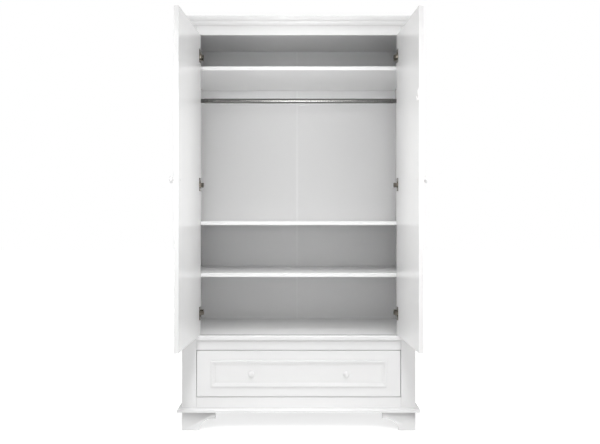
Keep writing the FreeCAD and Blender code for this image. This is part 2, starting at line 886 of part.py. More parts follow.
def make_drawer():
    """The drawer: front, trim, knobs, box and the moving halves of its runners."""
    front_width = 2 * (opening_half - door_gap)
    front_height = drawer_opening_height - 2 * drawer_gap
    front_level = drawer_opening_bottom + drawer_gap
    box_half = opening_half - runner_space
    side_level = drawer_opening_bottom + drawer_side_rise
    box_length = carcass_depth - frame_thick - drawer_back_clearance
    inside_half = box_half - drawer_side_thick
    groove_level = side_level + drawer_bottom_rise
    groove_height = drawer_bottom_thick + 2 * groove_gap

    body = board(
        "drawer_front",
        (-front_width / 2, front, front_level),
        (front_width, frame_thick, front_height),
        edge_radius,
    )
    middle = front_width / 2
    groove = new_sketch(body, "XZ_Plane", -frame_thick)
    low = groove_level - groove_gap - front_level
    half = inside_half + groove_depth
    rectangle(groove, middle - half, low, middle + half, low + groove_height)
    pocket(body, groove, groove_depth, reverse=True)
    holes = new_sketch(body, "XZ_Plane", -frame_thick)
    for way in (LEFT, RIGHT):
        circle(holes, middle + way * drawer_knob_offset, front_height / 2, screw_radius + screw_hole_gap)
    pocket(body, holes)

    level = front_level + front_height / 2
    trim_frame(
        "drawer_moulding",
        (0, front, level),
        front_width - 2 * trim_margin_side,
        front_height - 2 * trim_margin_end,
    )
    body = new_body("drawer_knobs", 0, front, level)
    turning = knob_shape(body, drawer_knob_offset, Size.of(0))
    bore = knob_bore(body, drawer_knob_offset, Size.of(0), screw_bite)
    mirror(body, turning, bore)
    body = new_body("drawer_knob_screws", 0, front, level)
    mirror(body, *knob_screw(body, drawer_knob_offset, frame_thick, frame_thick + screw_bite))

    for name, side in SIDES.items():
        low_x = side_start(side, box_half, drawer_side_thick)
        body = board(
            "drawer_side_" + name,
            (low_x, frame_back, side_level),
            (drawer_side_thick, box_length, drawer_side_height),
        )
        groove = new_sketch(body, "YZ_Plane", drawer_side_thick if side == LEFT else 0)
        low = drawer_bottom_rise - groove_gap
        rectangle(groove, 0, low, box_length, low + groove_height)
        pocket(body, groove, groove_depth, reverse=side == RIGHT)
    board(
        "drawer_bottom",
        (-inside_half - groove_depth + fit_gap, frame_back - groove_depth + fit_gap, groove_level),
        (
            2 * (inside_half + groove_depth - fit_gap),
            box_length + groove_depth - fit_gap,
            drawer_bottom_thick,
        ),
    )
    back_level = groove_level + drawer_bottom_thick + groove_gap
    board(
        "drawer_back",
        (-inside_half, frame_back + box_length - drawer_back_thick, back_level),
        (
            2 * inside_half,
            drawer_back_thick,
            side_level + drawer_side_height - back_level,
        ),
    )
    make_runners(box_half, side_level, box_length)


def make_runners(box_half, side_level, box_length):
    """Battens, cabinet and drawer runners and the four rollers.

    The drawer runner's top lip rolls on the front rollers, and the rear rollers roll on the
    cabinet runner's bottom lip.
    """
    runner_length = box_length - runner_back_gap
    channel = runner_space - 2 * runner_steel
    cabinet_lip = channel - cabinet_lip_gap
    drawer_lip = channel - drawer_lip_gap
    roller_width = channel - 2 * roller_side_gap
    lip_top = side_level - 2 * runner_steel - fit_gap
    lip_under = side_level + drawer_runner_height - runner_steel
    front_roller_level = lip_under - roller_radius - roller_gap
    rear_roller_level = lip_top + roller_radius + roller_gap
    web_bottom = lip_top - runner_steel
    roller_x = box_half + runner_steel + roller_side_gap

    body = new_body("runner_battens", 0, frame_back, side_level - drawer_side_rise / 2)
    sketch = new_sketch(body, "XY_Plane")
    rectangle(sketch, opening_half, 0, inner_half, runner_length)
    mirror(body, pad(body, sketch, batten_height))

    body = new_body("cabinet_runners", 0, frame_back, 0)
    sketch = new_sketch(body, "XZ_Plane")
    web_x = opening_half - runner_steel
    outline(
        sketch,
        [
            (opening_half - runner_steel - cabinet_lip, web_bottom),
            (opening_half, web_bottom),
            (opening_half, web_bottom + runner_web_height),
            (web_x, web_bottom + runner_web_height),
            (web_x, lip_top),
            (opening_half - runner_steel - cabinet_lip, lip_top),
        ],
    )
    channel = pad(body, sketch, runner_length, reverse=True)
    sketch = new_sketch(body, "YZ_Plane", opening_half)
    circle(sketch, roller_inset, front_roller_level, roller_pin_radius)
    pin = pad(body, sketch, opening_half - roller_x, reverse=True)
    mirror(body, channel, pin)

    body = new_body("drawer_runners", 0, frame_back, 0)
    sketch = new_sketch(body, "XZ_Plane")
    outer_x = box_half + runner_steel
    outline(
        sketch,
        [
            (box_half - drawer_side_thick / 2, side_level - runner_steel),
            (outer_x, side_level - runner_steel),
            (outer_x, lip_under),
            (outer_x + drawer_lip, lip_under),
            (outer_x + drawer_lip, lip_under + runner_steel),
            (box_half, lip_under + runner_steel),
            (box_half, side_level),
            (box_half - drawer_side_thick / 2, side_level),
        ],
    )
    channel = pad(body, sketch, runner_length, reverse=True)
    sketch = new_sketch(body, "YZ_Plane", box_half)
    circle(sketch, runner_length - roller_inset, rear_roller_level, roller_pin_radius)
    pin = pad(body, sketch, roller_x + roller_width - box_half)
    mirror(body, channel, pin)

    for label, place, level in (
        ("front_rollers", frame_back + roller_inset, front_roller_level),
        ("rear_rollers", frame_back + runner_length - roller_inset, rear_roller_level),
    ):
        body = new_body(label, 0, place, level)
        sketch = new_sketch(body, "YZ_Plane", roller_x)
        circle(sketch, 0, 0, roller_radius)
        circle(sketch, 0, 0, roller_pin_radius + roller_pin_gap)
        mirror(body, pad(body, sketch, roller_width))


def export():
    """Check every object and shape, then write one STEP file per body."""
    doc.recompute()
    bodies = [item for item in doc.Objects if item.TypeId == "PartDesign::Body"]
    for item in doc.Objects:
        if "Invalid" in item.State or "Error" in item.State:
            raise RuntimeError("failed object: %s %s" % (item.Label, item.State))
        if item.TypeId == "PartDesign::Pocket":
            if item.Shape.Volume > item.BaseFeature.Shape.Volume - SMALLEST_CUT:
                raise RuntimeError("a pocket that cuts nothing: " + item.Label)
    for body in bodies:
        if body.Shape.isNull() or not body.Shape.isValid() or not body.Shape.Solids:
            raise RuntimeError("bad shape: " + body.Label)
    os.makedirs("parts", exist_ok=True)
    for body in bodies:
        body.Shape.exportStep("parts/%s.step" % body.Label)
    print("%d nodes written" % len(bodies))


doc.recompute()
make_carcass()
make_back()
make_mouldings()
make_feet()
make_shelves()
make_rod()
for side_name, side_sign in SIDES.items():
    make_door(side_name, side_sign)
    make_hinge_housings(side_name, side_sign)
make_drawer()
export()
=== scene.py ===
"""A free-standing white wardrobe with open doors, dressed and detailed around its fixed frame.

Everything is in metres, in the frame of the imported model: +X to the right of someone facing the
doors, +Y from the front to the back, +Z up, with the origin on the floor.
"""

import json
import logging
import math
from collections.abc import Callable, Sequence
from dataclasses import dataclass, field
from enum import Enum

import bmesh
import bpy
from mathutils import Matrix, Vector


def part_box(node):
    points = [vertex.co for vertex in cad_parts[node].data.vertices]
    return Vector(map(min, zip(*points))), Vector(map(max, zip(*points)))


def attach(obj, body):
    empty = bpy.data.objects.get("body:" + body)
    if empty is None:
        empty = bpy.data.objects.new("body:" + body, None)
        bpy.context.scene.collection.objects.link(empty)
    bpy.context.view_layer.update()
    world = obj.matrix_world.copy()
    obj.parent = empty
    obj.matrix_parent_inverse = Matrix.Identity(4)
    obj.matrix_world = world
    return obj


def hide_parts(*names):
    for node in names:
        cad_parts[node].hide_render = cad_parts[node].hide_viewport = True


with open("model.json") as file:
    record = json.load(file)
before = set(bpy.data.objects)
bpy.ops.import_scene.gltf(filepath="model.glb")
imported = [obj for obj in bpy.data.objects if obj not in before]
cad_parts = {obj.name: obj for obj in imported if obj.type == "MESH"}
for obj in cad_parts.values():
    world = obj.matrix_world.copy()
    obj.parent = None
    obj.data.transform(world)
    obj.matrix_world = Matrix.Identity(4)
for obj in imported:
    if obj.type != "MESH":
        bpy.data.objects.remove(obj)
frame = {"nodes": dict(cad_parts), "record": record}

LOG = logging.getLogger("wardrobe")
MM = 0.001

# Cosines: a direction is along another one above the first, and across it below the second.
ALONG = 0.9
ACROSS = 0.1

UP = Vector((0, 0, 1))
FORWARD = Vector((0, -1, 0))
BACKWARD = Vector((0, 1, 0))

# What a socket takes, a noise's scale and detail, and a pair of shares, offsets or limits.
Value = "Socket | float | Sequence[float]"
Grain = tuple[float, float]
Shades = tuple[float, float]


class Side(Enum):
    """A side of the wardrobe, by the sign of its X."""

    LEFT = -1
    RIGHT = 1

    @property
    def word(self) -> str:
        """The side's name as the frame's nodes spell it."""
        return self.name.lower()


# ---------------------------------------------------------------- shader maths


class Socket:
    """A node's output that can be used in Python expressions."""

    def __init__(self, graph: "Graph", link: bpy.types.NodeSocket) -> None:
        """Wrap an output socket.

        Args:
            graph: The graph the socket belongs to.
            link: The output socket itself.
        """
        self.graph = graph
        self.link = link

    def _with(self, operation: str, first: Value, second: Value) -> "Socket":
        """Add one Math node to the graph."""
        settings = {"operation": operation}
        return self.graph.add("ShaderNodeMath", settings, {0: first, 1: second})

    def __add__(self, other: Value) -> "Socket":
        """Sum."""
        return self._with("ADD", self, other)

    def __sub__(self, other: Value) -> "Socket":
        """Difference."""
        return self._with("SUBTRACT", self, other)

    def __mul__(self, other: Value) -> "Socket":
        """Product."""
        return self._with("MULTIPLY", self, other)

    def __truediv__(self, other: Value) -> "Socket":
        """Quotient."""
        return self._with("DIVIDE", self, other)

    def clipped(self) -> "Socket":
        """The value held between 0 and 1."""
        return self.graph.add("ShaderNodeClamp", {}, {"Value": self})


class Graph:
    """One material's node tree, built by expressions."""

    def __init__(self, name: str) -> None:
        """Start an empty material.

        Args:
            name: The material's name.
        """
        self.material = bpy.data.materials.new(name)
        self.material.use_nodes = True
        self.tree = self.material.node_tree
        self.tree.nodes.clear()

    def add(
        self,
        kind: str,
        settings: dict[str, object] | None = None,
        inputs: dict[int | str, Value] | None = None,
        output: int | str = 0,
    ) -> "Socket | None":
        """Add any node.

        Args:
            kind: The node's type.
            settings: Its properties, set before its sockets.
            inputs: Values or links for its sockets, by index or name.
            output: Which output to return.

        Returns:
            The chosen output, wrapped, or nothing from a node that has none.
        """
        node = self.tree.nodes.new(kind)
        for key, value in (settings or {}).items():
            setattr(node, key, value)
        for key, value in (inputs or {}).items():
            if isinstance(value, Socket):
                self.tree.links.new(value.link, node.inputs[key])
            else:
                node.inputs[key].default_value = value
        return Socket(self, node.outputs[output]) if len(node.outputs) else None

    def place(self, stretch: Sequence[float] = (1, 1, 1)) -> Socket:
        """Object coordinates, stretched along each axis."""
        point = self.add("ShaderNodeTexCoord", output="Object")
        return self.add("ShaderNodeMapping", {}, {"Vector": point, "Scale": tuple(stretch)})

    def noise(
        self,
        scale: float,
        detail: float = 3.0,
        stretch: Sequence[float] = (1, 1, 1),
        roughness: float = 0.5,
    ) -> Socket:
        """Noise between 0 and 1 on object coordinates.

        Args:
            scale: How many patches fit in a metre.
            detail: How many finer layers are laid over them.
            stretch: How the noise is squeezed along each axis.
            roughness: How strong the finer layers are.

        Returns:
            The noise.
        """
        sockets = {
            "Vector": self.place(stretch),
            "Scale": scale,
            "Detail": detail,
            "Roughness": roughness,
        }
        return self.add("ShaderNodeTexNoise", {}, sockets)

    def spread(self, value: Socket, low: float, high: float) -> Socket:
        """Map 0..1 to low..high."""
        return value * (high - low) + low

    def window(self, value: Socket, low: float, high: float) -> Socket:
        """0 below low, 1 above high and a straight slope between."""
        return ((value - low) / (high - low)).clipped()

    def mix(self, factor: Value, first: Value, second: Value) -> Socket:
        """Blend two colours."""
        settings = {"data_type": "RGBA"}
        return self.add("ShaderNodeMix", settings, {0: factor, 6: first, 7: second}, 2)

    def bump(self, height: Socket, distance: float, strength: float) -> Socket:
        """A bumped normal from a height between 0 and 1."""
        sockets = {"Height": height, "Distance": distance, "Strength": strength}
        return self.add("ShaderNodeBump", {}, sockets)

    def shades(self, factor: Value, level: float, pair: Shades, warmth: float = 0.0) -> Socket:
        """Blend between a darker and a lighter shade of one level."""
        dark, light = (grey(level * share, warmth) for share in pair)
        return self.mix(factor, dark, light)

    def gloss(self, value: Socket, roughness: float, pair: Shades) -> Socket:
        """Let a roughness vary between two offsets from it."""
        less, more = pair
        return self.spread(value, roughness + less, roughness + more)

    def finish(self, sockets: dict[int | str, Value]) -> bpy.types.Material:
        """Add the surface shader and the output.

        Args:
            sockets: Values or links for the surface shader.

        Returns:
            The finished material.
        """
        shader = self.add("ShaderNodeBsdfPrincipled", {}, sockets)
        self.add("ShaderNodeOutputMaterial", {}, {"Surface": shader})
        return self.material


def grey(level: float, warmth: float = 0.0) -> tuple[float, float, float, float]:
    """A linear grey with a little warmth in it."""
    return (level * (1 + warmth), level, level * (1 - warmth), 1.0)


@dataclass(frozen=True)
class Finish:
    """What every finish has: the name of its material and of the record's slot."""

    slot: str

    def build(self) -> bpy.types.Material:
        """Make the material."""
        raise NotImplementedError


@dataclass(frozen=True)
class Lacquer(Finish):
    """Sprayed satin lacquer: a faint orange peel and slow shade changes."""

    level: float = 0.86
    roughness: float = 0.25
    peel: float = 0.00002
    peel_scale: float = 260.0
    peel_detail: float = 2.0
    peel_strength: float = 0.5
    warmth: float = 0.0015
    drift: Grain = (1.7, 2.0)
    cloud: Grain = (14.0, 4.0)
    drift_share: float = 0.6
    cloud_share: float = 0.4
    shades: Shades = (0.985, 1.015)
    sheen: Grain = (5.0, 3.0)
    sheen_range: Shades = (-0.04, 0.05)
    coat: float = 0.2
    coat_roughness: float = 0.18

    def build(self) -> bpy.types.Material:
        """Make the material.

        Returns:
            The material, named after its slot.
        """
        graph = Graph(self.slot)
        drift = graph.noise(*self.drift)
        cloud = graph.noise(*self.cloud)
        tone = drift * self.drift_share + cloud * self.cloud_share
        peel = graph.noise(self.peel_scale, self.peel_detail)
        normal = graph.bump(peel, self.peel, self.peel_strength)
        gloss = graph.gloss(graph.noise(*self.sheen), self.roughness, self.sheen_range)
        return graph.finish(
            {
                "Base Color": graph.shades(tone, self.level, self.shades, self.warmth),
                "Roughness": gloss,
                "IOR": 1.5,
                "Coat Weight": self.coat,
                "Coat Roughness": self.coat_roughness,
                "Normal": normal,
            }
        )


@dataclass(frozen=True)
class FoilBoard(Finish):
    """White foil-faced board: a printed-on fine pore texture, a little duller than lacquer."""

    level: float = 0.85
    roughness: float = 0.42
    pore: float = 0.00004
    pore_strength: float = 0.5
    pores: Grain = (900.0, 3.0)
    pore_stretch: tuple[float, float, float] = (0.12, 1.0, 1.0)
    pore_window: Shades = (0.62, 0.75)
    pore_tone: float = 0.12
    pore_shade: float = 0.9
    drift: Grain = (2.3, 3.0)
    shades: Shades = (0.985, 1.01)
    sheen: Grain = (6.0, 3.0)
    sheen_range: Shades = (-0.05, 0.06)

    def build(self) -> bpy.types.Material:
        """Make the material.

        Returns:
            The material, named after its slot.
        """
        graph = Graph(self.slot)
        pores = graph.noise(*self.pores, self.pore_stretch)
        colour = graph.shades(graph.noise(*self.drift), self.level, self.shades)
        specks = graph.window(pores, *self.pore_window) * self.pore_tone
        colour = graph.mix(specks, colour, grey(self.level * self.pore_shade))
        normal = graph.bump(pores, self.pore, self.pore_strength)
        gloss = graph.gloss(graph.noise(*self.sheen), self.roughness, self.sheen_range)
        return graph.finish({"Base Color": colour, "Roughness": gloss, "Normal": normal})


@dataclass(frozen=True)
class Hardboard(Finish):
    """Faced hardboard: matt, with a pressed fibre texture."""

    level: float = 0.83
    roughness: float = 0.55
    fibre: float = 0.0001
    fibre_strength: float = 0.5
    fibres: Grain = (420.0, 5.0)
    fibre_stretch: tuple[float, float, float] = (1.0, 1.0, 0.35)
    fibre_roughness: float = 0.65
    fibre_window: Shades = (0.6, 0.8)
    fibre_tone: float = 0.15
    fibre_shade: float = 0.88
    drift: Grain = (1.9, 4.0)
    shades: Shades = (0.98, 1.012)
    sheen_range: Shades = (-0.08, 0.08)

    def build(self) -> bpy.types.Material:
        """Make the material.

        Returns:
            The material, named after its slot.
        """
        graph = Graph(self.slot)
        fibres = graph.noise(*self.fibres, self.fibre_stretch, self.fibre_roughness)
        colour = graph.shades(graph.noise(*self.drift), self.level, self.shades)
        threads = graph.window(fibres, *self.fibre_window) * self.fibre_tone
        colour = graph.mix(threads, colour, grey(self.level * self.fibre_shade))
        normal = graph.bump(fibres, self.fibre, self.fibre_strength)
        gloss = graph.gloss(fibres, self.roughness, self.sheen_range)
        return graph.finish({"Base Color": colour, "Roughness": gloss, "Normal": normal})


@dataclass(frozen=True)
class Metal(Finish):
    """Plated or bare metal with a brushed or rolled direction and some dulling."""

    tint: tuple[float, float, float] = (0.6, 0.6, 0.6)
    roughness: float = 0.25
    spread: float = 0.08
    stretch: tuple[float, float, float] = (1.0, 1.0, 1.0)
    grain: float = 0.00001
    grain_scale: float = 900.0
    grain_detail: float = 3.0
    grain_strength: float = 0.4
    haze: Grain = (55.0, 4.0)
    haze_tone: float = 0.6
    grain_tone: float = 0.4
    dull: float = 0.86
    bright: float = 1.06

    def build(self) -> bpy.types.Material:
        """Make the material.

        Returns:
            The material, named after its slot.
        """
        graph = Graph(self.slot)
        lines = graph.noise(self.grain_scale, self.grain_detail, self.stretch)
        haze = graph.noise(*self.haze)
        bright = (*(min(part * self.bright, 1.0) for part in self.tint), 1.0)
        dull = (*(part * self.dull for part in self.tint), 1.0)
        colour = graph.mix(haze * self.haze_tone + lines * self.grain_tone, dull, bright)
        both = haze * 0.5 + lines * 0.5
        gloss = graph.gloss(both, self.roughness, (-self.spread, self.spread))
        normal = graph.bump(lines, self.grain, self.grain_strength)
        sockets = {"Base Color": colour, "Metallic": 1.0, "Roughness": gloss, "Normal": normal}
        return graph.finish(sockets)


@dataclass(frozen=True)
class Moulded(Finish):
    """Moulded or powder-coated skin: a fine grain and faint mottling."""

    level: float = 0.8
    warmth: float = 0.01
    roughness: float = 0.4
    grain: float = 0.00004
    grain_scale: float = 700.0
    grain_detail: float = 2.0
    grain_strength: float = 0.5
    mottle: Grain = (60.0, 3.0)
    shades: Shades = (0.97, 1.02)
    sheen_range: Shades = (-0.05, 0.05)

    def build(self) -> bpy.types.Material:
        """Make the material.

        Returns:
            The material, named after its slot.
        """
        graph = Graph(self.slot)
        grain = graph.noise(self.grain_scale, self.grain_detail)
        mottle = graph.noise(*self.mottle)
        colour = graph.shades(mottle, self.level, self.shades, self.warmth)
        gloss = graph.gloss(mottle, self.roughness, self.sheen_range)
        normal = graph.bump(grain, self.grain, self.grain_strength)
        return graph.finish({"Base Color": colour, "Roughness": gloss, "Normal": normal})


class Finishes:
    """One material for each of the record's slots."""

    def __init__(self) -> None:
        """Build every finish once."""
        choices = (
            Lacquer("white_lacquer", level=0.85),
            Lacquer("knob_lacquer", level=0.86, roughness=0.28, peel_scale=420.0),
            FoilBoard("white_board", level=0.94),
            FoilBoard("drawer_box_board", level=0.84, roughness=0.5),
            Hardboard("white_hardboard", level=0.93),
            Moulded("white_plastic_strip", level=0.97, warmth=0.0, roughness=0.35),
            Metal("chrome_tube", (0.24, 0.24, 0.23), 0.12, 0.03, (0.06, 1.0, 1.0), 0.000004),
            Metal("chrome_socket", (0.30, 0.30, 0.28), 0.16, 0.04),
            Metal("nickel_pin", (0.62, 0.61, 0.59), 0.3, 0.08),
            Metal("nickel_hinge", (0.22, 0.20, 0.17), 0.26, 0.08, (1.0, 1.0, 0.15), 0.00001),
            Moulded("white_runner_steel", 0.84, 0.005, 0.38, 0.00005, 520.0),
            Moulded("roller_plastic", 0.8, 0.02, 0.33),
            Metal("zinc_screw", (0.58, 0.58, 0.57), 0.34, 0.1),
        )
        self.by_slot = {finish.slot: finish.build() for finish in choices}

    def dress(self, piece: bpy.types.Object, slot: str) -> None:
        """Put a slot's material on a piece.

        Args:
            piece: The object to dress.
            slot: The record's slot.
        """
        piece.data.materials.clear()
        piece.data.materials.append(self.by_slot[slot])

    def dress_frame(self) -> None:
        """Put the right material on every node of the frame."""
        for part in frame["record"]["subparts"]:
            node = frame["nodes"][part["node"]]
            slot = self.by_slot[part["material_slot"]]
            if node.material_slots:
                for holder in node.material_slots:
                    holder.material = slot
            else:
                node.data.materials.append(slot)


# ---------------------------------------------------------------- shaping tools


class Pick(Enum):
    """What an edit tool is pointed at."""

    EDGES = "EDGE"
    FACES = "FACE"


def joint_of(name: str) -> dict:
    """The record's entry for one joint."""
    return next(joint for joint in frame["record"]["behaviour"]["joints"] if joint["name"] == name)


def middle(low: Vector, high: Vector) -> Vector:
    """The point halfway between two corners."""
    return (low + high) / 2


def near(value: float, target: float, slack: float = 0.00005) -> bool:
    """Whether a length is another one, within a twentieth of a millimetre."""
    return abs(value - target) < slack


class Bench:
    """One piece on the bench: started from a primitive and shaped with edit tools."""

    merge_below: float = 0.000002

    def __init__(self) -> None:
        """Take the primitive that has just been added and start editing it."""
        self.piece = bpy.context.active_object
        bpy.ops.object.transform_apply(location=True, rotation=True, scale=True)
        bpy.ops.object.mode_set(mode="EDIT")

    @classmethod
    def block(cls, low: Vector, high: Vector) -> "Bench":
        """Start from a rectangular block.

        Args:
            low: Its lowest corner.
            high: Its highest corner.

        Returns:
            The bench with the block on it.
        """
        bpy.ops.object.select_all(action="DESELECT")
        bpy.ops.mesh.primitive_cube_add(size=1, location=middle(low, high), scale=high - low)
        return cls()

    @classmethod
    def turning(cls, rings: Sequence[tuple[float, float]], sides: int) -> "Bench":
        """Turn a closed piece about +Z from a disc, one ring after another.

        Args:
            rings: Radius and height of each ring, from the foot up.
            sides: How many flats go round.

        Returns:
            The bench with the turned piece on it.
        """
        radius, height = rings[0]
        bpy.ops.object.select_all(action="DESELECT")
        bpy.ops.mesh.primitive_circle_add(
            vertices=sides, radius=radius, fill_type="NGON", location=(0, 0, height)
        )
        bench = cls()
        bpy.ops.mesh.select_mode(type="FACE")
        for next_radius, next_height in rings[1:]:
            bench.extrude(Vector((0, 0, next_height - height)))
            bench.resize(next_radius / radius, Vector((0, 0, next_height)))
            radius, height = next_radius, next_height
        return bench

    def pick(self, kind: Pick, test: Callable[[Vector, Vector], bool]) -> None:
        """Select only the faces or edges that pass a test.

        Args:
            kind: Faces or edges.
            test: Takes the item's middle, and a face's normal or an edge's direction.
        """
        bpy.ops.mesh.select_mode(type=kind.value)
        bpy.ops.mesh.select_all(action="DESELECT")
        shape = bmesh.from_edit_mesh(self.piece.data)
        if kind is Pick.FACES:
            for face in shape.faces:
                if test(face.calc_center_median(), face.normal):
                    face.select_set(True)
        else:
            for edge in shape.edges:
                first, last = (corner.co for corner in edge.verts)
                if test(middle(first, last), (last - first).normalized()):
                    edge.select_set(True)
        shape.select_flush_mode()
        bmesh.update_edit_mesh(self.piece.data)

    def extrude(self, move: Vector) -> None:
        """Extrude the selection along a vector."""
        bpy.ops.mesh.extrude_region_move(TRANSFORM_OT_translate={"value": move})

    def resize(self, factor: float, centre: Vector) -> None:
        """Resize the selection about a point."""
        bpy.ops.transform.resize(value=(factor,) * 3, center_override=centre)

    def inset(self, width: float) -> None:
        """Inset the selected faces."""
        bpy.ops.mesh.inset(thickness=width)

    def bevel(self, width: float, segments: int) -> None:
        """Round the selected edges."""
        bpy.ops.mesh.bevel(offset=width, segments=segments, profile=0.5, affect="EDGES")

    def cut(self, point: Vector, normal: Vector, trim: bool) -> None:
        """Cut right through with a plane.

        Args:
            point: A point of the plane.
            normal: Its normal.
            trim: Whether what lies on the normal's side is taken off and the cut closed.
        """
        bpy.ops.mesh.select_all(action="SELECT")
        bpy.ops.mesh.bisect(plane_co=point, plane_no=normal, use_fill=trim, clear_outer=trim)

    def take(self, name: str, smooth_below: float = 35.0) -> bpy.types.Object:
        """Close up the mesh and take the piece off the bench.

        Args:
            name: The piece's name.
            smooth_below: Edges flatter than this many degrees are shaded smooth.

        Returns:
            The finished piece.
        """
        bpy.ops.mesh.select_all(action="SELECT")
        bpy.ops.mesh.remove_doubles(threshold=self.merge_below)
        bpy.ops.mesh.normals_make_consistent(inside=False)
        bpy.ops.object.mode_set(mode="OBJECT")
        bpy.ops.object.shade_smooth_by_angle(angle=math.radians(smooth_below))
        self.piece.name = name
        return self.piece


def hold_only(piece: bpy.types.Object) -> None:
    """Select one piece and nothing else, and make it the active one.

    Args:
        piece: The piece to hold.
    """
    bpy.ops.object.select_all(action="DESELECT")
    piece.select_set(True)
    bpy.context.view_layer.objects.active = piece


def settle(piece: bpy.types.Object, place: Matrix) -> None:
    """Move a piece for good, and turn its faces outwards again where it was mirrored.

    Args:
        piece: The piece to move.
        place: Where it goes.
    """
    hold_only(piece)
    piece.matrix_world = place
    bpy.ops.object.transform_apply(location=True, rotation=True, scale=True)
    bpy.ops.object.mode_set(mode="EDIT")
    bpy.ops.mesh.select_all(action="SELECT")
    bpy.ops.mesh.normals_make_consistent(inside=False)
    bpy.ops.object.mode_set(mode="OBJECT")


def copy_of(piece: bpy.types.Object, name: str) -> bpy.types.Object:
    """Copy a piece with a mesh of its own.

    Args:
        piece: What is copied.
        name: The copy's name.

    Returns:
        The copy, at the origin.
    """
    twin = bpy.data.objects.new(name, piece.data.copy())
    bpy.context.scene.collection.objects.link(twin)
    return twin


def scatter(name: str, master: bpy.types.Object, places: Sequence[Matrix]) -> bpy.types.Object:
    """Repeat a small piece at many places and join the copies into one.

    Args:
        name: The joined piece's name.
        master: What is repeated. It is left as it is.
        places: One place for each copy.

    Returns:
        The joined piece.
    """
    copies = [copy_of(master, name) for _ in places]
    for twin, place in zip(copies, places):
        twin.matrix_world = place
    bpy.ops.object.select_all(action="DESELECT")
    for twin in copies:
        twin.select_set(True)
    bpy.context.view_layer.objects.active = copies[0]
    bpy.ops.object.transform_apply(location=True, rotation=True, scale=True)
    if len(copies) > 1:
        bpy.ops.object.join()
    copies[0].name = name
    return copies[0]


def soften(
    piece: bpy.types.Object, width: float, segments: int = 2, sharper_than: float = 40.0
) -> None:
    """Round a piece's sharp edges with an applied Bevel modifier.

    Args:
        piece: The piece to soften.
        width: The rounding's width.
        segments: How many facets it has.
        sharper_than: Edges sharper than this many degrees are rounded.
    """
    hold_only(piece)
    rounding = piece.modifiers.new("rounding", "BEVEL")
    rounding.width = width
    rounding.segments = segments
    rounding.limit_method = "ANGLE"
    rounding.angle_limit = math.radians(sharper_than)
    rounding.use_clamp_overlap = True
    bpy.ops.object.modifier_apply(modifier=rounding.name)
    bpy.ops.object.shade_smooth_by_angle(angle=math.radians(sharper_than))


def hollow(piece: bpy.types.Object, cutter: bpy.types.Object) -> None:
    """Cut one piece out of another with an applied Boolean modifier, and drop the cutter.

    Args:
        piece: The piece that is cut.
        cutter: What is cut out of it.
    """
    hold_only(piece)
    cut = piece.modifiers.new("cut", "BOOLEAN")
    cut.object = cutter
    cut.solver = "EXACT"
    bpy.ops.object.modifier_apply(modifier=cut.name)
    drop(cutter)


def drop(piece: bpy.types.Object) -> None:
    """Remove a piece that was only a helper."""
    bpy.data.objects.remove(piece)


def pointing(place: Vector, way: Vector) -> Matrix:
    """Where a piece made along +Z goes so that it points another way from a place."""
    return Matrix.Translation(place) @ way.to_track_quat("Z", "Y").to_matrix().to_4x4()


@dataclass
class SubAssembly:
    """What every sub-assembly shares: its finishes and how it hands over a piece."""

    finishes: Finishes

    def hand_over(self, piece: bpy.types.Object, body: str, slot: str, *nodes: str) -> None:
        """Dress a finished piece and fix it to its body.

        Args:
            piece: The finished piece.
            body: The body that it moves with.
            slot: The record's slot for its finish.
            nodes: The frame's nodes that it stands for.
        """
        self.finishes.dress(piece, slot)
        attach(piece, body)
        if nodes:
            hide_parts(*nodes)
        LOG.info("%s rides on %s, %d faces", piece.name, body, len(piece.data.polygons))


# ---------------------------------------------------------------- mouldings


@dataclass(frozen=True)
class Band:
    """A part of a moulding's height that stands further out than its core."""

    bottom: float
    top: float
    extra: float


@dataclass(frozen=True)
class Round:
    """A rounded arris of a moulding, by its distance out, its height and its radius."""

    out: float
    height: float
    radius: float


@dataclass(frozen=True)
class Section:
    """A wrap-round moulding's section, in metres."""

    name: str
    core: float
    height: float
    bands: tuple[Band, ...]
    rounds: tuple[Round, ...]


SECTIONS = (
    Section(
        "cornice",
        0.019,
        0.029,
        (Band(0.019, 0.029, 0.010),),
        (Round(0.019, 0.0, 0.015), Round(0.029, 0.019, 0.010)),
    ),
    Section(
        "waist_moulding",
        0.018,
        0.023,
        (),
        (Round(0.018, 0.023, 0.007), Round(0.018, 0.0, 0.005)),
    ),
    Section(
        "base_moulding",
        0.009,
        0.021,
        (Band(0.0, 0.018, 0.012),),
        (Round(0.021, 0.018, 0.009),),
    ),
)


